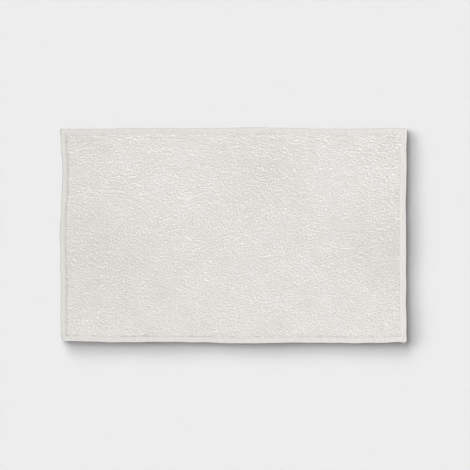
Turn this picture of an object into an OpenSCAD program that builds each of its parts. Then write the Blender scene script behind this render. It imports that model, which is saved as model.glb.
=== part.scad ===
// Terry bath mat: looped cotton on both faces of a ground cloth, with hems
// turned in twice and lockstitched along all four edges.
// +X runs along the mat, +Y across it and +Z up. The origin is on the floor,
// under the middle of the mat.

/* [Mat] */
// Length over the hems, along X
mat_l = 800; // [500:10:1200]
// Width over the hems, along Y
mat_w = 496; // [350:2:800]

/* [Cloth] */
// Thickness of the ground cloth
cloth_t = 1.1; // [0.9:0.05:1.1]
// Height of the loops under the ground cloth
reverse_loop_h = 2.7; // [2.7:0.1:4]
// Height of the loops above the ground cloth
face_loop_h = 3.2; // [2.6:0.1:5]
// Rounding along the border of each pile
pile_round_r = 1.3; // [0.5:0.1:1.3]

/* [Hems] */
// Width of the hems on the two short edges
end_hem_w = 15; // [12:0.5:25]
// Width of the hems on the two long edges
side_hem_w = 14; // [12:0.5:25]
// Air between the two lower layers of a hem
layer_gap = 0.1; // [0.05:0.05:0.2]
// Air between the raw edge and the outer fold
raw_edge_gap = 0.8; // [0.4:0.1:2]

/* [Stitching] */
// Diameter of the sewing threads
thread_d = 0.5; // [0.3:0.05:0.5]
// Visible length of one stitch
stitch_l = 3.2; // [2:0.1:3.6]
// Distance from one stitch to the next
stitch_pitch = 4; // [4:0.5:8]
// Distance of a seam from the inner edge of its hem
seam_inset = 2; // [1.8:0.1:3]
// Distance of the corner tacks from the ends of a long hem
tack_inset = 3; // [2:0.5:8]

/* [Care label] */
// Width of the label tape
label_w = 30; // [15:1:40]
// Length of tape that lies under the mat
label_l = 42; // [20:1:60]
// Thickness of the label tape
label_t = 0.3; // [0.2:0.05:0.3]
// Place of the label along the left edge, from the middle
label_y = 150; // [-180:5:180]

/* [Hidden] */
$fn = 32;

// Turns about Z that bring the right-hand edge to each of the four edges
RIGHT = 0;
REAR = 90;
LEFT = 180;
FRONT = 270;

// Heights above the floor
cloth_z = reverse_loop_h;
hem_top_z = cloth_z + cloth_t;

// The looped area inside the hems
field_l = mat_l - 2 * end_hem_w;
field_w = mat_w - 2 * side_hem_w;

// Folds of a hem
outer_fold_r = hem_top_z / 2;
inner_fold_r = cloth_t + layer_gap / 2;
inner_fold_gap = 0.15;

// How far a cut runs on past the surface that it opens
overcut = 1;

// Channels that the stitches sink into. The needle thread stands proud of the
// hem's top, and the bobbin thread is clear of the floor.
channel_w = 1.2;
channel_play = 0.02;
thread_proud = 0.2;
floor_gap = 0.08;
top_channel_d = thread_d - thread_proud + channel_play;
bottom_channel_d = floor_gap + thread_d + channel_play;
needle_z = hem_top_z - thread_d / 2 + thread_proud;
bobbin_z = floor_gap + thread_d / 2;

// Corner tacks: two short rows of stitches side by side
tack_stitches = 2;
tack_row_step = 1.2;
tack_centre = side_hem_w / 2;

// The label's tape rises beside the hem and ends between its layers
label_z = 0.1;
label_held_l = 6;
label_slit_w = 0.5;
label_play = 0.05;
label_headroom = 0.1;
label_room = 1;

cloth_colour = [0.90, 0.89, 0.86];
pile_colour = [0.93, 0.92, 0.89];
thread_colour = [0.96, 0.95, 0.93];
label_colour = [0.97, 0.97, 0.97];

// Moves what is drawn for the right-hand edge to the edge at this turn.
// There, X is the distance outwards from the hem's inner edge.
module at_edge(turn) {
    across = turn == REAR || turn == FRONT;
    reach = across ? field_w / 2 : field_l / 2;
    rotate([0, 0, turn]) translate([reach, 0, 0]) children();
}

// Extrudes a profile in X and height along an edge
module along_edge(length) {
    rotate([90, 0, 0]) linear_extrude(height = length, center = true) children();
}

// Half of a round fold of cloth, open towards +X
module half_fold(outer_r) {
    difference() {
        circle(r = outer_r);
        circle(r = outer_r - cloth_t);
        translate([0, -outer_r]) square([outer_r, 2 * outer_r]);
    }
}

// Section of a hem: the cloth runs outwards, folds under, comes back inwards
// and turns in once more, so that the raw edge is hidden
module hem_profile(hem_w) {
    outer_fold_x = hem_w - outer_fold_r;
    inner_fold_x = inner_fold_r + inner_fold_gap;
    raw_edge_x = outer_fold_x - raw_edge_gap;
    translate([0, cloth_z]) square([outer_fold_x, cloth_t]);
    translate([outer_fold_x, outer_fold_r]) mirror([1, 0]) half_fold(outer_fold_r);
    translate([inner_fold_x, 0]) square([outer_fold_x - inner_fold_x, cloth_t]);
    translate([inner_fold_x, inner_fold_r]) half_fold(inner_fold_r);
    translate([inner_fold_x, cloth_t + layer_gap]) square([raw_edge_x - inner_fold_x, cloth_t]);
}

// Section of the two channels for the stitches of one seam
module channel_profile() {
    channel_x = seam_inset - channel_w / 2;
    translate([channel_x, hem_top_z - top_channel_d]) square([channel_w, top_channel_d + overcut]);
    translate([channel_x, -overcut]) square([channel_w, bottom_channel_d + overcut]);
}

module hem(hem_w, length) {
    along_edge(length) difference() {
        hem_profile(hem_w);
        channel_profile();
    }
}

// Hollows in both faces of a long hem for the tacks at its two ends
module tack_hollows() {
    hollow_l = tack_stitches * stitch_pitch;
    hollow_w = tack_row_step + channel_w;
    for (end = [-1, 1]) {
        translate([tack_centre, end * (mat_l / 2 - tack_inset), 0]) {
            translate([0, 0, hem_top_z - top_channel_d + overcut / 2])
                cube([hollow_l, hollow_w, overcut], center = true);
            translate([0, 0, bottom_channel_d - overcut / 2])
                cube([hollow_l, hollow_w, overcut], center = true);
        }
    }
}

module end_hem(turn) {
    color(cloth_colour) at_edge(turn) hem(end_hem_w, field_w);
}

module side_hem(turn) {
    color(cloth_colour) at_edge(turn) difference() {
        hem(side_hem_w, mat_l);
        tack_hollows();
    }
}

// A row of stitches along Y, each a short straight length of thread
module stitch_row(count) {
    for (i = [0 : count - 1]) {
        y = (i - (count - 1) / 2) * stitch_pitch;
        translate([0, y, 0]) rotate([90, 0, 0]) cylinder(d = thread_d, h = stitch_l, center = true);
    }
}

// All the stitches of one seam that lie at this height
module seam(turn, length, z) {
    count = floor((length - stitch_pitch) / stitch_pitch);
    color(thread_colour) at_edge(turn) translate([seam_inset, 0, z]) stitch_row(count);
}

// Short cross rows that close the two ends of a long hem, on both its faces
module hem_tacks(turn) {
    at_edge(turn) for (end = [-1, 1], row = [-0.5, 0.5], z = [needle_z, bobbin_z]) {
        y = end * (mat_l / 2 - tack_inset) + row * tack_row_step;
        translate([tack_centre, y, z]) rotate([0, 0, 90]) stitch_row(tack_stitches);
    }
}

// A slab whose upper border is rounded, standing on the XY plane
module rounded_slab(l, w, h) {
    intersection() {
        rotate([90, 0, 0]) linear_extrude(height = w, center = true) rounded_top(l, h);
        rotate([90, 0, 90]) linear_extrude(height = l, center = true) rounded_top(w, h);
    }
}

// A rectangle of this width and height with its two upper corners rounded
module rounded_top(l, h) {
    translate([-l / 2, 0]) square([l, h - pile_round_r]);
    translate([pile_round_r - l / 2, 0]) square([l - 2 * pile_round_r, h]);
    for (side = [-1, 1]) {
        translate([side * (l / 2 - pile_round_r), h - pile_round_r]) circle(r = pile_round_r);
    }
}

module ground_cloth() {
    color(cloth_colour) translate([0, 0, cloth_z + cloth_t / 2])
        cube([field_l, field_w, cloth_t], center = true);
}

module face_pile() {
    color(pile_colour) translate([0, 0, hem_top_z]) rounded_slab(field_l, field_w, face_loop_h);
}

module reverse_pile() {
    color(pile_colour) difference() {
        translate([0, 0, cloth_z]) mirror([0, 0, 1]) rounded_slab(field_l, field_w, reverse_loop_h);
        label_place() label_hollow();
    }
}

// Moves what is drawn at the middle of the right-hand edge to the label's place
module label_place() {
    at_edge(LEFT) translate([0, -label_y, 0]) children();
}

// The space in the loops that the label presses flat
module label_hollow() {
    hollow_w = label_w + 2 * label_room;
    hollow_h = label_z + label_t + label_headroom;
    translate([-label_l - label_room, -hollow_w / 2, -overcut])
        cube([label_l + 2 * label_room, hollow_w, hollow_h + overcut]);
    translate([-label_slit_w, -hollow_w / 2, -overcut])
        cube([label_slit_w + overcut, hollow_w, cloth_z + 2 * overcut]);
}

// A tape that lies under the mat, rises beside the hem and is held between its layers
module care_label() {
    riser_x = label_play + label_t;
    held_z = cloth_z - label_play - label_t;
    color(label_colour) label_place() along_edge(label_w) {
        translate([-label_l, label_z]) square([label_l - label_play, label_t]);
        translate([-riser_x, label_z]) square([label_t, held_z + label_t - label_z]);
        translate([-riser_x, held_z]) square([riser_x + label_held_l, label_t]);
    }
}

module corner_tacks() {
    color(thread_colour) for (turn = [FRONT, REAR]) hem_tacks(turn);
}

ground_cloth();
face_pile();
reverse_pile();
end_hem(LEFT);  // hem_left
end_hem(RIGHT);  // hem_right
side_hem(FRONT);  // hem_front
side_hem(REAR);  // hem_rear
seam(LEFT, field_w, needle_z);  // needle_thread_left
seam(RIGHT, field_w, needle_z);  // needle_thread_right
seam(FRONT, mat_l, needle_z);  // needle_thread_front
seam(REAR, mat_l, needle_z);  // needle_thread_rear
seam(LEFT, field_w, bobbin_z);  // bobbin_thread_left
seam(RIGHT, field_w, bobbin_z);  // bobbin_thread_right
seam(FRONT, mat_l, bobbin_z);  // bobbin_thread_front
seam(REAR, mat_l, bobbin_z);  // bobbin_thread_rear
corner_tacks();
care_label();
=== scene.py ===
"""The looks of a terry bath mat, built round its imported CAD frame.

Everything is in metres in the row frame: X along the mat, Y across it, Z up, floor at zero.
Each piece is laid out straight from the CAD boxes, and settle() then gives it the soft
outline and the slight rise of cloth that was laid down by hand.
"""

import itertools
import math

import bpy
import numpy as np
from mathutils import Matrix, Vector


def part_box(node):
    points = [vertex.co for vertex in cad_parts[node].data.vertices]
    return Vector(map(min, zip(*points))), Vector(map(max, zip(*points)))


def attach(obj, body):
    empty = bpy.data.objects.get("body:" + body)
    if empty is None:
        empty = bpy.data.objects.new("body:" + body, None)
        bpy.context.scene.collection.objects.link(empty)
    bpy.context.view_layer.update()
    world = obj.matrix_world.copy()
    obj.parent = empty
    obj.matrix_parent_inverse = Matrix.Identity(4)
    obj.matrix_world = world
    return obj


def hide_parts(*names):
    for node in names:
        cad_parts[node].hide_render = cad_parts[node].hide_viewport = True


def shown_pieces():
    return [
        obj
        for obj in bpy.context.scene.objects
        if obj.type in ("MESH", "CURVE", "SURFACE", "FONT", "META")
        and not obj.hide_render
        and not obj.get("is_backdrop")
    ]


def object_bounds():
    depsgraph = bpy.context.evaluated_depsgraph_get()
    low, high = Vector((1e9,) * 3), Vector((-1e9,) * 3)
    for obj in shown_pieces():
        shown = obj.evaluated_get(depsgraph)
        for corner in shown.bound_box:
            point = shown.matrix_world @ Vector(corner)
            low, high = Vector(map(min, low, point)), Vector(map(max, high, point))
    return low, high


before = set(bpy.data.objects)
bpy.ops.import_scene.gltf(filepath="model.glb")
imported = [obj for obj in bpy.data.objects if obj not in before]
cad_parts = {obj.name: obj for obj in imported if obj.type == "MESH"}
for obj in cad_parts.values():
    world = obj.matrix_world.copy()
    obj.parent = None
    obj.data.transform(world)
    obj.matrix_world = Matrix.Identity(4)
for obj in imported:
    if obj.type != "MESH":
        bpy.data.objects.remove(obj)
CAD_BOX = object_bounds()

MM = 0.001
TURN = 2 * math.pi


# Sizes from the frame ---------------------------------------------------------------------

def box(node):
    """The lowest and highest corner of a CAD node, as arrays."""
    low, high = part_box(node)
    return np.array(low), np.array(high)


HALF_L, HALF_W, MAT_TOP = CAD_BOX[1]
CLOTH_LOW, CLOTH_HIGH = box("ground_cloth")
FIELD_X, FIELD_Y = CLOTH_HIGH[:2]
CLOTH_BOTTOM, CLOTH_TOP = CLOTH_LOW[2], CLOTH_HIGH[2]
CLOTH_T = CLOTH_TOP - CLOTH_BOTTOM
CLOTH_MID = (CLOTH_TOP + CLOTH_BOTTOM) / 2
END_HEM_W = HALF_L - FIELD_X
SIDE_HEM_W = HALF_W - FIELD_Y
SEAM_U = (box("needle_thread_right")[0][0] + box("needle_thread_right")[1][0]) / 2 - FIELD_X
THREAD_R = (box("needle_thread_right")[1][0] - box("needle_thread_right")[0][0]) / 2
LABEL_LOW, LABEL_HIGH = box("care_label")
LABEL_T = 0.3 * MM  # thickness of the label's tape
STITCH_PITCH = 4 * MM  # from one stitch to the next


# Smooth random shapes ---------------------------------------------------------------------

def smooth_step(value, low, high):
    """0 below low, 1 above high, and a smooth climb between them."""
    t = np.clip((value - low) / (high - low), 0, 1)
    return t * t * (3 - 2 * t)


WAVE_MIX = (0.75, 1.35)  # the shortest and longest wave in a random shape, in wavelengths


def ripple_field(seed, wavelength, stretch=1.0, waves=56):
    """A smooth random function of X and Y, of unit spread, with ripples of this length.
    A stretch above 1 draws the ripples out along X."""
    rng = np.random.default_rng(seed)
    heading = TURN * (np.arange(waves) + rng.uniform(0, 1, waves)) / waves
    steepness = TURN / (wavelength * rng.uniform(*WAVE_MIX, waves))
    along_x = steepness * np.cos(heading) / stretch
    along_y = steepness * np.sin(heading)
    phase = rng.uniform(0, TURN, waves)

    def value(x, y):
        total = np.zeros(np.broadcast(x, y).shape)
        for kx, ky, start in zip(along_x, along_y, phase):
            total += np.cos(kx * x + ky * y + start)
        return total * math.sqrt(2 / waves)

    return value


# The way the whole mat lies ---------------------------------------------------------------

# How far each edge strays outwards: (height, wavelength, place of a crest) of each wave
EDGE_WAVES = {
    "left": [(1.6 * MM, 240 * MM, 20 * MM), (1.9 * MM, 400 * MM, -67 * MM)],
    "right": [(0.5 * MM, 280 * MM, -28 * MM), (1.1 * MM, 500 * MM, 222 * MM)],
    "rear": [(1.0 * MM, 280 * MM, 80 * MM), (1.0 * MM, 650 * MM, 25 * MM)],
    "front": [(0.8 * MM, 280 * MM, 13 * MM), (1.8 * MM, 1200 * MM, 131 * MM)],
}
CORNER_ROUND = 4 * MM
FRONT_LEFT_ROUND = 9 * MM
PAST_EDGE = 1.1  # points this far out, in half sizes of the mat, still move with its edge
PAST_CORNER = 1.2  # points this deep in a corner, in its radii, still move with it
RISE = 0.3 * MM  # spread of the height of the soft swells across the mat
MEAN_SWELL, TOP_SWELL = 1.2, 3.0  # their middle height and the highest, in spreads
SWELLS = ripple_field(seed=11, wavelength=210 * MM, waves=24)


def stray(edge, along):
    """How far an edge lies outwards of its straight line at these places along it."""
    total = np.zeros(np.shape(along))
    for height, wavelength, crest in EDGE_WAVES[edge]:
        total += height * np.cos(TURN * (along - crest) / wavelength)
    return total


def round_corners(x, y):
    """Draws the four square corners in to soft ones."""
    radius = np.where((x < 0) & (y < 0), FRONT_LEFT_ROUND, CORNER_ROUND)
    deep_x = np.clip((np.abs(x) - HALF_L) / radius + 1, 0, PAST_CORNER)
    deep_y = np.clip((np.abs(y) - HALF_W) / radius + 1, 0, PAST_CORNER)
    drawn_x = x - np.sign(x) * radius * deep_x * (1 - np.sqrt(1 - deep_y * deep_y / 2))
    drawn_y = y - np.sign(y) * radius * deep_y * (1 - np.sqrt(1 - deep_x * deep_x / 2))
    return drawn_x, drawn_y


def settle(points):
    """Moves points of the straight layout to where they lie on the floor."""
    z = points[..., 2]
    x, y = round_corners(points[..., 0], points[..., 1])
    to_right = np.clip(x / HALF_L, 0, PAST_EDGE)
    to_left = np.clip(-x / HALF_L, 0, PAST_EDGE)
    to_rear = np.clip(y / HALF_W, 0, PAST_EDGE)
    to_front = np.clip(-y / HALF_W, 0, PAST_EDGE)
    out = np.empty_like(points)
    out[..., 0] = x + stray("right", y) * to_right - stray("left", y) * to_left
    out[..., 1] = y + stray("rear", x) * to_rear - stray("front", x) * to_front
    out[..., 2] = z + RISE * np.clip(MEAN_SWELL + SWELLS(x, y), 0, TOP_SWELL)
    return out


# Meshes -----------------------------------------------------------------------------------

def tile_uv(points):
    """Flat coordinates over X and Y that fill the unit square."""
    low = points[:, :2].min(0)
    size = points[:, :2].max(0) - low
    return (points[:, :2] - low) / size


def add_uv(mesh, name, corners, coordinates):
    """A layer of flat coordinates, given for each point of the mesh."""
    layer = mesh.uv_layers.new(name=name)
    layer.uv.foreach_set("vector", coordinates[corners].astype(np.float32).ravel())


def make_piece(name, points, faces, material, nodes, uv=None, tone_and_shade=None):
    """A smooth mesh that rides on the mat and stands for CAD nodes. faces is a list of arrays,
    each of faces with one number of corners, uv is along and across the cloth in metres, and
    the last argument is a lightness for each point: random tone with painted shade in it."""
    points = settle(points.reshape(-1, 3))
    corners = np.concatenate([group.ravel() for group in faces])
    sizes = np.concatenate([np.full(len(group), group.shape[1]) for group in faces])
    starts = np.concatenate([[0], np.cumsum(sizes)[:-1]])
    mesh = bpy.data.meshes.new(name)
    mesh.vertices.add(len(points))
    mesh.vertices.foreach_set("co", points.astype(np.float32).ravel())
    mesh.loops.add(len(corners))
    mesh.loops.foreach_set("vertex_index", corners.astype(np.int32))
    mesh.polygons.add(len(sizes))
    mesh.polygons.foreach_set("loop_start", starts.astype(np.int32))
    mesh.polygons.foreach_set("use_smooth", np.ones(len(sizes), bool))
    mesh.update(calc_edges=True)
    add_uv(mesh, "OFBake", corners, tile_uv(points))
    if uv is not None:
        add_uv(mesh, "Cloth", corners, uv.reshape(-1, 2))
    if tone_and_shade is not None:
        attribute = mesh.attributes.new("tone_and_shade", "FLOAT", "POINT")
        attribute.data.foreach_set("value", tone_and_shade.astype(np.float32).ravel())
    mesh.materials.append(material)
    piece = bpy.data.objects.new(name, mesh)
    bpy.context.scene.collection.objects.link(piece)
    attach(piece, "root")
    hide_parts(*nodes)
    return piece


def tube_faces(tubes, rings, sides):
    """Faces of tubes whose points run by tube, ring and side, each closed by a face at both ends."""
    ring = np.arange(rings - 1)[:, None]
    side = np.arange(sides)[None, :]
    turned = (side + 1) % sides
    here, beyond = ring * sides, (ring + 1) * sides
    wall = [here + side, here + turned, beyond + turned, beyond + side]
    wall = np.stack(wall, axis=-1).reshape(-1, 4)
    first = np.arange(sides)[::-1][None, :]
    last = (rings - 1) * sides + np.arange(sides)[None, :]
    start = np.arange(tubes)[:, None, None] * rings * sides
    walls = (start + wall).reshape(-1, 4)
    ends = (start + np.concatenate([first, last])[None]).reshape(-1, sides)
    return [walls, ends]


def tube_points(centres, radii, aside, sides):
    """Points round tubes, by tube, ring and side. aside is a vector for each tube that
    is roughly square to its length, and it keeps the sides from twisting."""
    along = np.gradient(centres, axis=1)
    along /= np.linalg.norm(along, axis=2, keepdims=True)
    aside = np.broadcast_to(aside[:, None, :], centres.shape)
    first = aside - (aside * along).sum(2, keepdims=True) * along
    first /= np.linalg.norm(first, axis=2, keepdims=True)
    second = np.cross(along, first)
    angle = TURN * (np.arange(sides) + 0.5) / sides
    ring = (
        first[:, :, None, :] * np.cos(angle)[None, None, :, None]
        + second[:, :, None, :] * np.sin(angle)[None, None, :, None]
    )
    return centres[:, :, None, :] + radii[..., None, None] * ring


def ribbon_faces(stations, layers):
    """Faces of the closed skin of a strip of cloth. Its points run by station along the strip,
    and at each station along one face of the cloth and back along the other."""
    around = 2 * layers
    index = np.arange(stations * around).reshape(stations, around)
    beside = np.roll(index, -1, axis=1)
    skin = np.stack([index[:-1], beside[:-1], beside[1:], index[1:]], axis=-1).reshape(-1, 4)
    layer = np.arange(layers - 1)
    ends = np.stack([layer, around - 1 - layer, around - 2 - layer, layer + 1], axis=-1)
    return [np.concatenate([skin, index[0][ends][:, ::-1], index[-1][ends]])]


# Terry loops ------------------------------------------------------------------------------

FOOT_ANGLE = 0.6  # where a loop's round arch begins, in radians from its lowest point

# Random shapes over the whole mat: small tufts that stand together, and wide areas of wear
CLUMPS = ripple_field(seed=5, wavelength=7.5 * MM, stretch=1.5)
WEAR = ripple_field(seed=7, wavelength=95 * MM, waves=30)

# Broad patches of lighter or darker loops: the place of the middle, the spread, the change of tone
PATCHES = [
    (-350 * MM, -40 * MM, 75 * MM, -0.55),
    (-220 * MM, -90 * MM, 70 * MM, -0.25),
    (-350 * MM, 200 * MM, 50 * MM, -0.25),
    (355 * MM, -40 * MM, 60 * MM, -0.5),
    (80 * MM, 150 * MM, 55 * MM, -0.3),
    (245 * MM, 160 * MM, 65 * MM, 0.29),
    (260 * MM, -200 * MM, 60 * MM, 0.17),
    (-130 * MM, 140 * MM, 70 * MM, 0.12),
]

BORDER_LEAN = 1.0 * MM  # how far the outermost loops lean outwards
BORDER_W = 3 * MM  # how quickly that fades inwards
BORDER_PLAY = 0.3  # how far a loop may reach out over the border, in radii of its yarn
RESTING = 1.15  # height of the yarn's middle over what it rests on, in radii
LABEL_MARGIN = 1.5 * MM  # how far round the label the loops are pressed up

# How much loops differ from each other, as shares of the plain loop or in radians
PLACE_SPREAD = 0.2
HEIGHT_SPREAD = 0.14
LEAN_SPREAD, MOST_LEAN = 0.55, 1.1
YAW_SPREAD = 0.5
TWIST_SPREAD = 0.5
SPAN_MIX = (0.8, 1.25)
SLANT_SPREAD = 0.25  # of a loop's top along its arch, in spans
BOW_SPREAD = 0.3  # of its two legs to the side, in spans
YARN_SPREAD = 0.06

# The height of loops as a share of the pile's: the middle, the lowest, the highest, and
# how much the clumps change it
MEAN_HEIGHT, LOW_HEIGHT, HIGH_HEIGHT, CLUMP_HEIGHT = 0.97, 0.6, 1.3, 0.05

# The lightness of loops: the middle, its spread, what wear does to it, and the painted
# shade that makes low clumps darker (high ones lighter) and the border darker
MEAN_TONE, TONE_SPREAD, WEAR_TONE, CLUMP_SHADE, BORDER_SHADE = 0.33, 0.13, 0.04, 0.04, -0.4
# painted shade: a loop is darker towards its root, where the loops shade each other
ROOT_SHADE = 0.55  # lightness at a loop's root, as a share of that at its top
ROOT_YARN, TOP_YARN = 0.85, 0.2  # thickness at the root, and what the top adds
LEAN_CURVE = 1.4  # how late on its way up a leaning loop bends over

# How the loops of each face stand. They start at root_z and go up (1) or down (-1). step_x
# and step_y part them along and across the mat, half_span is half the width of a loop's
# arch, and rings and sides are the points along and round its yarn.
FACE_LOOPS = {
    "root_z": CLOTH_TOP, "up": 1, "height": MAT_TOP - CLOTH_TOP, "yarn_r": 0.95 * MM,
    "step_x": 3.7 * MM, "step_y": 2.75 * MM, "half_span": 1.55 * MM, "rings": 8, "sides": 5,
}
REVERSE_LOOPS = {
    "root_z": CLOTH_BOTTOM, "up": -1, "height": CLOTH_BOTTOM, "yarn_r": 0.9 * MM,
    "step_x": 4.9 * MM, "step_y": 3.6 * MM, "half_span": 2.5 * MM, "rings": 6, "sides": 4,
}


def loop_spots(rng, loops):
    """Where loops stand: rows along X, every other row offset, each loop a little off its place."""
    columns = round(2 * FIELD_X / loops["step_x"])
    rows = round(2 * FIELD_Y / loops["step_y"])
    column, row = np.meshgrid(np.arange(columns), np.arange(rows))
    x = (column + 0.25 + 0.5 * (row % 2) - columns / 2) * loops["step_x"]
    y = (row + 0.5 - rows / 2) * loops["step_y"]
    x = x + rng.normal(0, PLACE_SPREAD, x.shape) * loops["step_x"]
    y = y + rng.normal(0, PLACE_SPREAD, y.shape) * loops["step_y"]
    return x.ravel(), y.ravel()


def patch_tone(x, y):
    """How much lighter the broad patches make the loops at these places."""
    total = np.zeros(np.shape(x))
    for patch_x, patch_y, spread, change in PATCHES:
        total += change * np.exp(-((x - patch_x) ** 2 + (y - patch_y) ** 2) / (2 * spread ** 2))
    return total


def underlay_top(x, y):
    """The height of what the mat rests on at these places: the floor, or the label's tape."""
    in_y = (y > LABEL_LOW[1] - LABEL_MARGIN) & (y < LABEL_HIGH[1] + LABEL_MARGIN)
    over_label = in_y & (x < LABEL_HIGH[0] + LABEL_MARGIN)
    return np.where(over_label, LABEL_LOW[2] + LABEL_T, 0)


def loop_tubes(rng, x, y, loops):
    """Arched tubes of yarn over their spots, and a lightness for each point, with painted shade in
    it.
    """
    count, rings, yarn_r, up = len(x), loops["rings"], loops["yarn_r"], loops["up"]
    clump = CLUMPS(x, y)
    share = MEAN_HEIGHT + CLUMP_HEIGHT * clump + rng.normal(0, HEIGHT_SPREAD, count)
    tall = loops["height"] * np.clip(share, LOW_HEIGHT, HIGH_HEIGHT)
    lean = np.clip(rng.normal(0, LEAN_SPREAD, count), -MOST_LEAN, MOST_LEAN)
    yaw = rng.normal(0, YAW_SPREAD, count)
    twist = rng.normal(0, TWIST_SPREAD, count)
    span = loops["half_span"] * rng.uniform(*SPAN_MIX, count)
    slant = rng.normal(0, SLANT_SPREAD, count) * span
    bow = rng.normal(0, BOW_SPREAD, count) * span
    length = (tall - yarn_r) / np.cos(lean)

    angle = np.linspace(FOOT_ANGLE, TURN - FOOT_ANGLE, rings)
    climb = (1 - np.cos(angle)) / 2
    forward = -span[:, None] * np.sin(angle) + slant[:, None] * climb
    sideways = (length * np.sin(lean))[:, None] * climb ** LEAN_CURVE + bow[:, None] * np.sin(angle)
    rise = (length * np.cos(lean))[:, None] * climb
    rise[:, 0] -= yarn_r
    rise[:, -1] -= yarn_r

    heading = yaw[:, None] + twist[:, None] * climb
    ahead_x, ahead_y = np.cos(heading), np.sin(heading)
    out_x = BORDER_LEAN * np.sign(x) * np.exp((np.abs(x) - FIELD_X) / BORDER_W)
    out_y = BORDER_LEAN * np.sign(y) * np.exp((np.abs(y) - FIELD_Y) / BORDER_W)
    centre_x = x[:, None] + forward * ahead_x - sideways * ahead_y + out_x[:, None] * climb
    centre_y = y[:, None] + forward * ahead_y + sideways * ahead_x + out_y[:, None] * climb
    centres = np.stack([centre_x, centre_y, loops["root_z"] + up * rise], axis=-1)
    limit = np.array([FIELD_X, FIELD_Y]) + BORDER_PLAY * yarn_r
    centres[..., :2] = np.clip(centres[..., :2], -limit, limit)
    lowest = underlay_top(centres[..., 0], centres[..., 1]) + RESTING * yarn_r
    centres[..., 2] = np.maximum(centres[..., 2], lowest)

    aside = [-np.sin(yaw) * np.cos(lean), np.cos(yaw) * np.cos(lean), -up * np.sin(lean)]
    radii = yarn_r * (ROOT_YARN + TOP_YARN * climb) * rng.normal(1, YARN_SPREAD, (count, rings))
    points = tube_points(centres, radii, np.stack(aside, axis=-1), loops["sides"])

    # painted shade along the pile's border and in low clumps, on top of the loops' random tone and
    # wear
    border = np.exp(np.maximum(np.abs(x) - FIELD_X, np.abs(y) - FIELD_Y) / BORDER_W)
    tone_and_shade = MEAN_TONE + TONE_SPREAD * rng.normal(0, 1, count) + patch_tone(x, y)
    tone_and_shade += WEAR_TONE * WEAR(x, y) + CLUMP_SHADE * clump + BORDER_SHADE * border
    # painted shade: each loop darkens towards its root
    tone_and_shade = tone_and_shade[:, None] * (ROOT_SHADE + (1 - ROOT_SHADE) * climb)
    return points, np.repeat(tone_and_shade[..., None], loops["sides"], axis=2)


def make_pile(name, node, material, loops, seed, bands):
    """One face of loops, in bands across the mat so that no mesh grows too large."""
    rng = np.random.default_rng(seed)
    x, y = loop_spots(rng, loops)
    points, tone_and_shade = loop_tubes(rng, x, y, loops)
    made = []
    band_of = np.clip(((y / FIELD_Y + 1) / 2 * bands).astype(int), 0, bands - 1)
    for band in range(bands):
        mine = band_of == band
        faces = tube_faces(int(mine.sum()), loops["rings"], loops["sides"])
        band_name = f"{name}_{band + 1:02d}"
        made.append(
            make_piece(band_name, points[mine], faces, material, [node], tone_and_shade=tone_and_shade[mine])
        )
    return made


# Cloth ------------------------------------------------------------------------------------

GROUND_GRID = (257, 157)  # points along X and Y


def make_ground(material):
    """The woven base between the two faces of loops, as a thin closed slab."""
    columns, rows = GROUND_GRID
    x, y = np.meshgrid(np.linspace(-FIELD_X, FIELD_X, columns), np.linspace(-FIELD_Y, FIELD_Y, rows))
    flat = np.stack([x, y, np.zeros_like(x)], axis=-1).reshape(-1, 3)
    points = np.concatenate([flat + [0, 0, CLOTH_TOP], flat + [0, 0, CLOTH_BOTTOM]])
    index = np.arange(columns * rows).reshape(rows, columns)
    top = [index[:-1, :-1], index[:-1, 1:], index[1:, 1:], index[1:, :-1]]
    top = np.stack(top, axis=-1).reshape(-1, 4)
    bottom = top[:, ::-1] + len(flat)
    border = np.concatenate([index[0, :-1], index[:-1, -1], index[-1, :0:-1], index[:0:-1, 0]])
    following = np.roll(border, -1)
    rim = np.stack([border, border + len(flat), following + len(flat), following], axis=-1)
    uv = np.concatenate([flat[:, :2], flat[:, :2]])
    faces = [np.concatenate([top, bottom, rim])]
    name = "ground_cloth_weave"
    return make_piece(name, points, faces, material, ["ground_cloth"], uv=uv)


# Hems -------------------------------------------------------------------------------------

# The quarter turns that bring the right-hand edge to each edge
TURNS = {"right": 0, "rear": 1, "left": 2, "front": 3}
LONG_EDGES = ("front", "rear")
HEM_PUFF = ripple_field(seed=21, wavelength=17 * MM)
HEM_PULL = ripple_field(seed=22, wavelength=6.5 * MM)
HEM_DRIFT = ripple_field(seed=23, wavelength=60 * MM)
EDGE_SHIFT = 1.7  # metres that part the random shapes of the four edges

HEM_CUT_W = 2.6  # the strip turned into a hem is this many times as wide as the hem
PUFF_H = 0.16 * MM  # height of the soft puffs along a hem
PULL_H = 0.13 * MM  # height of its small creases
DRIFT_W = 0.35 * MM  # how far its outer edge wanders
PUCKER_H, PUCKER_W = 0.16 * MM, 1.3 * MM  # the puckers between stitches
UPPER_FROM, UPPER_TO = 1.9, 2.5  # heights where the upper layer begins, in cloth thicknesses
PILLOW_H = 1.1 * MM  # how much thicker a long hem is over the end of a short one
PRESSED, PRESSED_W = 0.18, 1.5 * MM  # how much thinner the seam pulls the cloth, and over what width
STATIONS_PER_STITCH = 6
HEM_POINTS = 34  # points round the folds of a hem

# How far the corners at both ends of a long hem bulge outwards
CORNER_BULGE = {"front": (0.2 * MM, 1.4 * MM), "rear": (0.4 * MM, 0.2 * MM)}


def at_edge(edge, along, outwards, height):
    """Points at an edge, from places along it and outwards from its hem's inner side."""
    x = (FIELD_Y if edge in LONG_EDGES else FIELD_X) + outwards
    y = along
    for _ in range(TURNS[edge]):
        x, y = -y, x
    return np.stack(np.broadcast_arrays(x, y, height), axis=-1)


KNOT_STEPS = 12  # points from knot to knot, before they are spaced evenly


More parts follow.
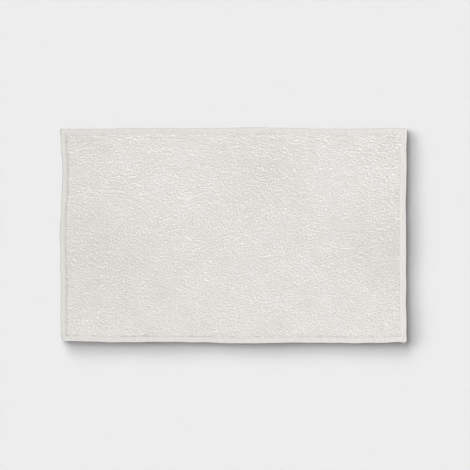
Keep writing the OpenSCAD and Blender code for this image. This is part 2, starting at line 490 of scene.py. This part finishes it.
def smooth_line(knots, count):
    """A smooth line through given knots, as evenly spaced points."""
    knots = np.array(knots, float)
    padded = np.concatenate([[2 * knots[0] - knots[1]], knots, [2 * knots[-1] - knots[-2]]])
    t = np.linspace(0, 1, KNOT_STEPS, endpoint=False)[:, None]
    runs = []
    for a, b, c, d in zip(padded[:-3], padded[1:-2], padded[2:-1], padded[3:]):
        bend = 2 * a - 5 * b + 4 * c - d + t * (3 * (b - c) + d - a)
        runs.append(b + 0.5 * t * (c - a + t * bend))
    line = np.concatenate(runs + [knots[-1:]])
    run = np.concatenate([[0], np.cumsum(np.linalg.norm(np.diff(line, axis=0), axis=1))])
    at = np.linspace(0, run[-1], count)
    return np.stack([np.interp(at, run, line[:, k]) for k in range(2)], axis=-1)


def hem_path(hem_w):
    """The middle of the cloth as it folds under twice: down from the loops into the seam and
    outwards with a slight rise, round the outer fold, back along the floor, round the inner
    fold and out again to the raw edge. Places are outwards of the hem's inner side, and heights."""
    t = CLOTH_T
    return smooth_line(
        [
            (0, CLOTH_MID + 0.4 * t),
            (0.5 * SEAM_U, CLOTH_MID + 0.3 * t),
            (SEAM_U, CLOTH_MID + 0.05 * t),
            (1.8 * SEAM_U, CLOTH_MID - 0.12 * t),
            (0.45 * hem_w, CLOTH_MID - 0.34 * t),
            (0.8 * hem_w, CLOTH_MID - 0.2 * t),
            (0.93 * hem_w, CLOTH_MID - 0.34 * t),
            (hem_w - 0.65 * t, 1.7 * t),
            (0.92 * hem_w, 0.86 * t),
            (0.8 * hem_w, 0.55 * t),
            (0.45 * hem_w, 0.51 * t),
            (1.7 * SEAM_U, 0.53 * t),
            (SEAM_U, 0.76 * t),
            (0.45 * SEAM_U, 0.9 * t),
            (0.25 * SEAM_U, 1.3 * t),
            (0.5 * SEAM_U, 1.68 * t),
            (SEAM_U, 1.62 * t),
            (0.3 * hem_w, 1.54 * t),
            (0.6 * hem_w, 1.53 * t),
            (0.78 * hem_w, 1.55 * t),
        ],
        HEM_POINTS,
    )


def hem_width(edge):
    """The width of the hem at this edge."""
    return SIDE_HEM_W if edge in LONG_EDGES else END_HEM_W


def upper_run(hem_w):
    """The part of the hem's path that is seen from above: places outwards, and heights."""
    path = hem_path(hem_w)
    run = path[: int(np.argmax(path[:, 0])) + 1]
    return run[:, 0], run[:, 1]


def crossing(edge, along):
    """How the hem of a short edge raises and lowers the long hem that lies over it."""
    if edge not in LONG_EDGES:
        return np.ones(np.shape(along))
    return np.interp(np.abs(along) - FIELD_X, *upper_run(END_HEM_W)) / CLOTH_MID


def corner_share(edge, along):
    """0 along most of a long hem, and 1 in the middle of the corners at its ends."""
    if edge not in LONG_EDGES:
        return np.zeros(np.shape(along))
    return np.sin(math.pi * np.clip((np.abs(along) - FIELD_X) / END_HEM_W, 0, 1))


def hem_height(edge, along, u, z):
    """Where a hem's cloth lies, from its height z in the plain fold: it puffs up between
    stitches, pulls into small creases, and is thick and round at the corners."""
    hem_w = hem_width(edge)
    shift = TURNS[edge] * EDGE_SHIFT
    upper = smooth_step(z, UPPER_FROM * CLOTH_T, UPPER_TO * CLOTH_T)
    belly = np.sin(math.pi * np.clip(u / hem_w, 0, 1))
    puff = PUFF_H * HEM_PUFF(along, u + shift) * belly
    near_seam = np.exp(-((u - SEAM_U) / PUCKER_W) ** 2)
    pucker = -PUCKER_H * np.cos(TURN * along / STITCH_PITCH) * near_seam
    pull = PULL_H * HEM_PULL(along + 0.5 * u, shift) * belly
    pillow = PILLOW_H * corner_share(edge, along) * smooth_step(u, 0.2 * hem_w, 0.5 * hem_w)
    return z * crossing(edge, along) + upper * (puff + pucker + pull + pillow)


def make_hem(edge, material):
    """A strip of cloth folded under twice along an edge, as one closed skin."""
    hem_w = hem_width(edge)
    half = HALF_L if edge in LONG_EDGES else FIELD_Y
    stations = int(2 * half / (STITCH_PITCH / STATIONS_PER_STITCH)) + 1
    along = np.linspace(-half, half, stations)[:, None]
    path = hem_path(hem_w)
    u, z = path[:, 0][None, :], path[:, 1][None, :]
    outermost = smooth_step(u, 0.5 * hem_w, hem_w)
    drift = DRIFT_W * HEM_DRIFT(along, TURNS[edge]) * outermost
    low_end, high_end = CORNER_BULGE.get(edge, (0, 0))
    bulge = np.where(along > 0, high_end, low_end) * corner_share(edge, along) * outermost
    mid_u = u + drift + bulge
    mid_z = hem_height(edge, along, u, z)

    du = np.gradient(mid_u, axis=1)
    dz = np.gradient(mid_z, axis=1)
    size = np.hypot(du, dz)
    thinned = 1 - PRESSED * np.exp(-((u - SEAM_U) / PRESSED_W) ** 2)
    half_t = CLOTH_T / 2 * thinned * np.minimum(crossing(edge, along), 1)
    off_u, off_z = -dz / size * half_t, du / size * half_t
    outer = at_edge(edge, along, mid_u + off_u, np.maximum(mid_z + off_z, 0))
    inner = at_edge(edge, along, mid_u - off_u, np.maximum(mid_z - off_z, 0))
    points = np.concatenate([outer, inner[:, ::-1]], axis=1)

    faces = ribbon_faces(stations, len(path))
    walk = np.linspace(0, HEM_CUT_W * hem_w, len(path))
    walk = np.concatenate([walk, walk[::-1]])[None, :]
    uv = np.stack(np.broadcast_arrays(along, walk), axis=-1)
    name = f"hem_{edge}_cloth"
    return make_piece(name, points, faces, material, [f"hem_{edge}"], uv=uv)


# Stitches ---------------------------------------------------------------------------------

THREAD_SIDES = 6
STITCH_RINGS = 9
STITCH_SHARE = 0.9  # of the pitch that one stitch spans
SEAM_END = 1.5 * MM  # how far short of a hem's end its seam stops
THREAD_LIFT, THREAD_DIP = 0.55, 2.2  # rise over the cloth and fall at the holes, in radii
THREAD_TAPER = 0.25  # how much thinner the thread is at the holes
DIP_POWER = 6  # how late a stitch turns down to its holes
FLOOR_RUN_TOP = 0.95  # the layer on the floor has its middle below this many cloths' thickness
SEAM_T = 0.82  # thickness of the cloth under the thread, as a share of the loose cloth's
TACK_INSET, TACK_ROW_STEP = 4.4 * MM, 1.3 * MM  # from the ends of a long hem, and from row to row


def hem_skin(edge, along, u, upper):
    """The height of a hem's upper or lower surface."""
    if upper:
        run_u, run_z = upper_run(hem_width(edge))
    else:
        path = hem_path(hem_width(edge))
        floor_run = path[path[:, 1] < FLOOR_RUN_TOP * CLOTH_T]
        run_u, run_z = floor_run[::-1].T
    z = hem_height(edge, along, u, np.interp(u, run_u, run_z))
    half_t = SEAM_T * CLOTH_T / 2 * np.minimum(crossing(edge, along), 1)
    return z + half_t if upper else z - half_t


def stitch_tubes(edge, along, u, step_along, step_u, upper):
    """Short arched threads from hole to hole, lying on a hem's upper or lower surface."""
    t = np.linspace(-0.5, 0.5, STITCH_RINGS)
    thread_along = along[:, None] + t * step_along
    thread_u = u[:, None] + t * step_u
    dip = (2 * t) ** DIP_POWER
    side = 1 if upper else -1
    over_cloth = side * THREAD_R * (THREAD_LIFT - THREAD_DIP * dip)
    z = hem_skin(edge, thread_along, thread_u, upper) + over_cloth
    centres = at_edge(edge, thread_along, thread_u, np.maximum(z, THREAD_R))
    radii = np.full(z.shape, THREAD_R) * (1 - THREAD_TAPER * dip)
    aside = np.tile([0.0, 0.0, 1.0], (len(along), 1))
    uv = np.stack(np.broadcast_arrays(t * STITCH_PITCH, np.zeros(z.shape)), axis=-1)
    return tube_points(centres, radii, aside, THREAD_SIDES), uv


def make_stitches(name, tubes, uvs, node, material):
    """One piece from groups of stitches, with flat coordinates along and round each thread."""
    points = np.concatenate(tubes)
    uv = np.repeat(np.concatenate(uvs)[:, :, None, :], THREAD_SIDES, axis=2)
    uv[..., 1] += np.arange(THREAD_SIDES) * TURN * THREAD_R / THREAD_SIDES
    faces = tube_faces(len(points), points.shape[1], THREAD_SIDES)
    return make_piece(name, points, faces, material, [node], uv=uv)


def make_seam(edge, upper, material):
    """The needle or bobbin thread of one edge's seam."""
    kind = "needle" if upper else "bobbin"
    half = (HALF_L if edge in LONG_EDGES else FIELD_Y) - SEAM_END
    count = int(2 * half / STITCH_PITCH)
    along = (np.arange(count) - (count - 1) / 2) * STITCH_PITCH
    stitch_l = STITCH_SHARE * STITCH_PITCH
    tubes, uv = stitch_tubes(edge, along, np.full(count, SEAM_U), stitch_l, 0, upper)
    name = f"{kind}_stitches_{edge}"
    return make_stitches(name, [tubes], [uv], f"{kind}_thread_{edge}", material)


def make_tacks(material):
    """Two short rows of stitches across each end of the long hems, on both faces."""
    tubes, uvs = [], []
    u = SIDE_HEM_W / 2 + np.array([-0.5, 0.5]) * STITCH_PITCH
    for edge, end, row, upper in itertools.product(LONG_EDGES, (-1, 1), (0, 1), (True, False)):
        along = np.full(len(u), end * (HALF_L - TACK_INSET - row * TACK_ROW_STEP))
        made, uv = stitch_tubes(edge, along, u, 0, STITCH_SHARE * STITCH_PITCH, upper)
        tubes.append(made)
        uvs.append(uv)
    return make_stitches("corner_tack_stitches", tubes, uvs, "corner_tacks", material)


# Care label -------------------------------------------------------------------------------

LABEL_BEND = 1.5 * MM  # how far each way from its middle the tape's bend reaches
LABEL_LIFT = 0.05 * MM  # how far the middle of the tape rises
LABEL_GRID = (60, 25)  # points along and across the tape


def make_label(material):
    """A blank tape, held between the layers of the left hem and lying under the loops."""
    t = LABEL_T
    low_x, high_x = LABEL_LOW[0], LABEL_HIGH[0]
    bend_x = -FIELD_X + t
    held_z = LABEL_HIGH[2] - t / 2
    lying_z = LABEL_LOW[2] + t / 2
    line = smooth_line(
        [
            (low_x, held_z),
            (bend_x - LABEL_BEND, held_z),
            (bend_x, (held_z + lying_z) / 2),
            (bend_x + LABEL_BEND, lying_z),
            ((bend_x + high_x) / 2, lying_z + LABEL_LIFT),
            (high_x, lying_z),
        ],
        LABEL_GRID[0],
    )
    y = np.linspace(LABEL_LOW[1], LABEL_HIGH[1], LABEL_GRID[1])[:, None]
    du = np.gradient(line[:, 0])
    dz = np.gradient(line[:, 1])
    size = np.hypot(du, dz)
    sides = []
    for side in (1, -1):
        x = line[:, 0] - side * dz / size * t / 2
        z = line[:, 1] + side * du / size * t / 2
        sides.append(np.stack(np.broadcast_arrays(x[None, :], y, z[None, :]), axis=-1))
    points = np.concatenate([sides[0], sides[1][:, ::-1]], axis=1)
    faces = ribbon_faces(len(y), len(line))
    walk = np.concatenate([line[:, 0], line[::-1, 0]])[None, :]
    uv = np.stack(np.broadcast_arrays(walk, y), axis=-1)
    name = "care_label_tape"
    return make_piece(name, points, faces, material, ["care_label"], uv=uv)


# Materials --------------------------------------------------------------------------------

# The loops' yarn (and the ground's) is painted lighter than the same yarn in the hems: painted light
# that makes up for the shade among the loops
COTTON_LIGHT = (0.965, 0.951, 0.932)
COTTON_SHADE = (0.875, 0.851, 0.818)
HEM_LIGHT = (0.785, 0.768, 0.742)
HEM_SHADE = (0.69, 0.672, 0.64)
THREAD_LIGHT = (0.87, 0.86, 0.84)
THREAD_SHADE = (0.74, 0.72, 0.69)
LABEL_LIGHT = (0.88, 0.88, 0.87)
LABEL_SHADE = (0.80, 0.80, 0.79)
FLOOR_COLOUR = (0.352, 0.352, 0.352)

PATCH_SHARE = 0.5  # how much the soft patches add to a loop's tone
TONE_GAIN = 1.1  # how quickly the tone takes a loop from its shade to its light colour
FUZZ_DEPTH = 0.12 * MM  # relief of the fibres on the loops
WEAVE_DEPTH = 0.25 * MM  # relief of the ribs of woven cloth
WEAVE_WANDER = 0.9  # how far the ribs wander from their places, in ribs
SLUB_SHARE = 0.45  # how much of the cloth's shade comes from uneven yarn
SLUB_ROUGHNESS, MEAN_SLUB_ROUGHNESS = 0.15, 0.08  # what uneven yarn adds to the roughness
THREAD_TWIST = 0.8 * MM  # length of one twist of the sewing thread
TWIST_DEPTH = 0.06 * MM  # relief of that twist
SHEEN_ROUGHNESS = 0.5


class Shader:
    """A material's nodes, added and joined by short calls."""

    def __init__(self, name, specular=0.2, sheen=0.0):
        self.material = bpy.data.materials.new(name)
        self.material.use_nodes = True
        self.tree = self.material.node_tree
        self.surface = self.tree.nodes["Principled BSDF"]
        self.surface.inputs["Specular IOR Level"].default_value = specular
        if sheen:
            self.surface.inputs["Sheen Weight"].default_value = sheen
            self.surface.inputs["Sheen Roughness"].default_value = SHEEN_ROUGHNESS

    def add(self, kind, settings=None, **inputs):
        """A new node. Inputs go by name, or as i and a number, and each is a number or
        colour, or another node's output."""
        node = self.tree.nodes.new(kind)
        for key, value in (settings or {}).items():
            setattr(node, key, value)
        for key, value in inputs.items():
            numbered = key[0] == "i" and key[1:].isdigit()
            socket = node.inputs[int(key[1:]) if numbered else key]
            if isinstance(value, bpy.types.NodeSocket):
                self.tree.links.new(value, socket)
            else:
                socket.default_value = value
        return node

    def math(self, operation, a, b=0.0, c=0.0):
        """One step of arithmetic on up to three values."""
        return self.add("ShaderNodeMath", {"operation": operation}, i0=a, i1=b, i2=c).outputs[0]

    def scaled(self, value, factor, offset=0.0):
        """A value times a factor, plus an offset."""
        return self.math("MULTIPLY_ADD", value, factor, offset)

    def wave(self, length, wavelength):
        """A wave between -1 and 1 along a length."""
        return self.math("SINE", self.math("MULTIPLY", length, TURN / wavelength))

    def noise(self, vector, scale, detail):
        """A random pattern between 0 and 1, with about this many features to the metre."""
        node = self.add("ShaderNodeTexNoise", Vector=vector, Scale=scale, Detail=detail)
        return node.outputs["Fac"]

    def mix(self, factor, low, high):
        """A colour between two, from 0 at the first to 1 at the second."""
        settings = {"data_type": "RGBA"}
        node = self.add("ShaderNodeMix", settings, i0=factor, i6=(*low, 1), i7=(*high, 1))
        return node.outputs[2]

    def place(self):
        """The place of a point on the piece, in metres."""
        return self.add("ShaderNodeTexCoord").outputs["Object"]

    def cloth_xy(self):
        """Places along and across the cloth, in metres."""
        uv = self.add("ShaderNodeUVMap", {"uv_map": "Cloth"}).outputs[0]
        split = self.add("ShaderNodeSeparateXYZ", i0=uv)
        return uv, split.outputs[0], split.outputs[1]

    def finish(self, colour, height, depth, roughness):
        """Joins the colour, a relief of this depth and the roughness to the surface."""
        bump = self.add("ShaderNodeBump", Height=height, Distance=depth, Strength=1.0)
        self.tree.links.new(bump.outputs[0], self.surface.inputs["Normal"])
        self.tree.links.new(colour, self.surface.inputs["Base Color"])
        self.tree.links.new(roughness, self.surface.inputs["Roughness"])
        return self.material


def terry_material():
    """Uncut cotton loops: each a little lighter or darker; painted shade makes their roots warmer
    and darker.
    """
    shader = Shader("terry_cotton", specular=0.1, sheen=0.1)
    place = shader.place()
    # the loops' lightness: random tone and wear, with painted shade at roots, clumps and border
    tone_and_shade = shader.add("ShaderNodeAttribute", {"attribute_name": "tone_and_shade"}).outputs["Fac"]
    patch = shader.noise(place, scale=26.0, detail=2.0)
    fuzz = shader.noise(place, scale=2600.0, detail=2.0)
    level = shader.math("MULTIPLY_ADD", patch, PATCH_SHARE, tone_and_shade)
    level = shader.math("MULTIPLY", level, TONE_GAIN)
    colour = shader.mix(level, COTTON_SHADE, COTTON_LIGHT)
    rough = shader.scaled(fuzz, factor=0.12, offset=0.86)
    return shader.finish(colour, fuzz, FUZZ_DEPTH, rough)


def woven_material(name, light, shade, warp_m, weft_m, rib_share, roughness):
    """Plain-woven cloth from its thread spacings along and across the cloth, in metres.
    rib_share is how strongly the ribs across the cloth stand out."""
    shader = Shader(name, sheen=0.08)
    uv, along, across = shader.cloth_xy()
    wander = shader.noise(uv, scale=120.0, detail=2.0)
    along = shader.math("MULTIPLY_ADD", wander, WEAVE_WANDER * warp_m, along)
    ribs = shader.wave(along, warp_m)
    picks = shader.wave(across, weft_m)
    weave = shader.math("MULTIPLY", ribs, picks)
    weave = shader.scaled(weave, 1 - rib_share)
    weave = shader.math("MULTIPLY_ADD", ribs, rib_share, weave)
    height = shader.scaled(weave, 0.5, 0.5)
    slub = shader.noise(uv, scale=900.0, detail=3.0)
    # the colour follows the relief, as painted shade in the grooves between ribs, and the uneven
    # yarn
    level = shader.math("MULTIPLY_ADD", slub, SLUB_SHARE, shader.scaled(height, 1 - SLUB_SHARE))
    rough = shader.scaled(slub, SLUB_ROUGHNESS, roughness - MEAN_SLUB_ROUGHNESS)
    return shader.finish(shader.mix(level, shade, light), height, WEAVE_DEPTH, rough)


def thread_material():
    """Twisted sewing thread: fine slanting stripes round each stitch, with painted shade in the
    grooves of the twist.
    """
    shader = Shader("sewing_thread_cotton", sheen=0.2)
    uv, along, around = shader.cloth_xy()
    slant = shader.math("ADD", along, around)
    height = shader.scaled(shader.wave(slant, THREAD_TWIST), 0.5, 0.5)
    slub = shader.noise(uv, scale=1500.0, detail=2.0)
    # painted shade: darker in the grooves of the twist
    colour = shader.mix(height, THREAD_SHADE, THREAD_LIGHT)
    rough = shader.scaled(slub, factor=0.2, offset=0.5)
    return shader.finish(colour, height, TWIST_DEPTH, rough)


def floor_material():
    """Plain matt paper."""
    shader = Shader("studio_floor_paper", specular=0.0)
    grain = shader.noise(shader.place(), scale=300.0, detail=2.0)
    shader.surface.inputs["Base Color"].default_value = (*FLOOR_COLOUR, 1)
    rough = shader.scaled(grain, factor=0.05, offset=0.9)
    shader.tree.links.new(rough, shader.surface.inputs["Roughness"])
    return shader.material


# Building the mat -------------------------------------------------------------------------

terry = terry_material()
hem_cotton = woven_material(
    "hem_cotton", HEM_LIGHT, HEM_SHADE,
    warp_m=1.5 * MM, weft_m=1.1 * MM, rib_share=0.65, roughness=0.88,
)
ground_cotton = woven_material(
    "ground_cotton", COTTON_LIGHT, COTTON_SHADE,
    warp_m=MM, weft_m=MM, rib_share=0.3, roughness=0.92,
)
label_satin = woven_material(
    "label_satin", LABEL_LIGHT, LABEL_SHADE,
    warp_m=0.5 * MM, weft_m=0.35 * MM, rib_share=0.6, roughness=0.55,
)
thread = thread_material()

face_loops = make_pile("face_loops", "face_pile", terry, FACE_LOOPS, seed=101, bands=16)
reverse_loops = make_pile("reverse_loops", "reverse_pile", terry, REVERSE_LOOPS, seed=202, bands=6)
ground = make_ground(ground_cotton)
hems = {edge: make_hem(edge, hem_cotton) for edge in TURNS}
seams = {edge: [make_seam(edge, upper, thread) for upper in (True, False)] for edge in TURNS}
tacks = make_tacks(thread)
label = make_label(label_satin)


# Stage, light and camera ------------------------------------------------------------------

FLOOR_SIDE = 12.0
SUN_DISTANCE = 5.0
VIEW_W = 1.087  # width of the camera's view at the mat
VIEW_X, VIEW_Y = 3.4 * MM, 0.6 * MM  # the middle of the view
LENS_MM = 85
FLOOR_LEVEL = 0.847  # brightness of the lit floor
AMBIENT_LEVEL = 0.618  # brightness of the room overhead
HORIZON_TOP = 0.2  # sine of the height where the bright horizon starts to fade
SOFTBOX_SIDE, SOFTBOX_DISTANCE = 5.4, 9.0

# Rows of suns that light only the floor: how many, the first and last azimuth, the height
# and spread in degrees, and the brightness of each
FLOOR_SUNS = {
    "floor_low": (10, 101, 177, 7.0, 5, 0.1315),
    "floor_mid": (5, 105, 173, 16, 13, 0.09),
}


def make_floor():
    """A wide pale floor just under the mat."""
    half = FLOOR_SIDE / 2
    mesh = bpy.data.meshes.new("studio_floor")
    corners = [(-half, -half, 0), (half, -half, 0), (half, half, 0), (-half, half, 0)]
    mesh.from_pydata(corners, [], [(0, 1, 2, 3)])
    mesh.materials.append(floor_material())
    floor = bpy.data.objects.new("studio_floor", mesh)
    bpy.context.scene.collection.objects.link(floor)
    floor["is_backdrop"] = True
    return floor


def make_light(name, kind, azimuth, elevation, distance, receivers):
    """A light at this compass turn (0 is +X, 90 is +Y) and height in degrees, facing the mat.
    It lights only the objects in its receivers."""
    lamp = bpy.data.lights.new(name, kind)
    light = bpy.data.objects.new(name, lamp)
    turn, tilt = math.radians(azimuth), math.radians(elevation)
    light.location = (
        distance * math.cos(tilt) * math.cos(turn),
        distance * math.cos(tilt) * math.sin(turn),
        distance * math.sin(tilt),
    )
    light.rotation_euler = (0, math.radians(90 - elevation), turn)
    bpy.context.scene.collection.objects.link(light)
    light.light_linking.receiver_collection = receivers
    return lamp


def make_sun(name, azimuth, elevation, spread, level, receivers):
    """A distant soft light. level is how bright it alone makes a level white surface."""
    lamp = make_light(name, "SUN", azimuth, elevation, SUN_DISTANCE, receivers)
    lamp.energy = level * math.pi / math.sin(math.radians(elevation))
    lamp.angle = math.radians(spread)


def make_softbox(name, azimuth, elevation, level, receivers):
    """A square soft light. level is how bright it alone makes a level white surface."""
    lamp = make_light(name, "AREA", azimuth, elevation, SOFTBOX_DISTANCE, receivers)
    lamp.size = SOFTBOX_SIDE
    lamp.energy = level * (math.pi * SOFTBOX_DISTANCE) ** 2 / math.sin(math.radians(elevation))


def make_group(name, members):
    """A collection of these objects for light linking, outside the scene's own collection."""
    group = bpy.data.collections.new(name)
    for member in members:
        group.objects.link(member)
    return group


def make_camera():
    """A long lens straight above the mat, framing it as a studio picture does."""
    data = bpy.data.cameras.new("camera")
    data.lens = LENS_MM
    camera = bpy.data.objects.new("camera", data)
    camera.location = (VIEW_X, VIEW_Y, VIEW_W * data.lens / data.sensor_width + MAT_TOP)
    bpy.context.scene.collection.objects.link(camera)
    bpy.context.scene.camera = camera


def make_world():
    """Soft light from all round, as bright as the floor near the horizon and dimmer overhead."""
    world = bpy.data.worlds.new("studio")
    world.use_nodes = True
    tree = world.node_tree
    direction = tree.nodes.new("ShaderNodeTexCoord").outputs["Generated"]
    split = tree.nodes.new("ShaderNodeSeparateXYZ")
    ramp = tree.nodes.new("ShaderNodeMapRange")
    ramp.interpolation_type = "SMOOTHSTEP"
    ramp.inputs["From Min"].default_value = HORIZON_TOP
    ramp.inputs["From Max"].default_value = 2 * HORIZON_TOP
    ramp.inputs["To Min"].default_value = FLOOR_LEVEL
    ramp.inputs["To Max"].default_value = AMBIENT_LEVEL
    tree.links.new(direction, split.inputs[0])
    tree.links.new(split.outputs[2], ramp.inputs["Value"])
    tree.links.new(ramp.outputs[0], tree.nodes["Background"].inputs["Strength"])
    tree.nodes["Background"].inputs["Color"].default_value = (1, 1, 1, 1)
    bpy.context.scene.world = world


floor = make_floor()
pile = face_loops + reverse_loops + [ground]
floor_only = make_group("lit_floor", [floor])
pile_only = make_group("lit_pile", pile)
hems_only = make_group("lit_hems", [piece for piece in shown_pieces() if piece not in pile])
for row_name, (count, first, last, elevation, spread, level) in FLOOR_SUNS.items():
    for number, azimuth in enumerate(np.linspace(first, last, count)):
        make_sun(f"{row_name}_{number}", azimuth, elevation, spread, level, floor_only)
make_softbox("pile_key", azimuth=70, elevation=53, level=0.5, receivers=pile_only)
make_softbox("hem_key", azimuth=-14, elevation=46, level=0.48, receivers=hems_only)
make_camera()
make_world()
bpy.context.scene.view_settings.view_transform = "Standard"
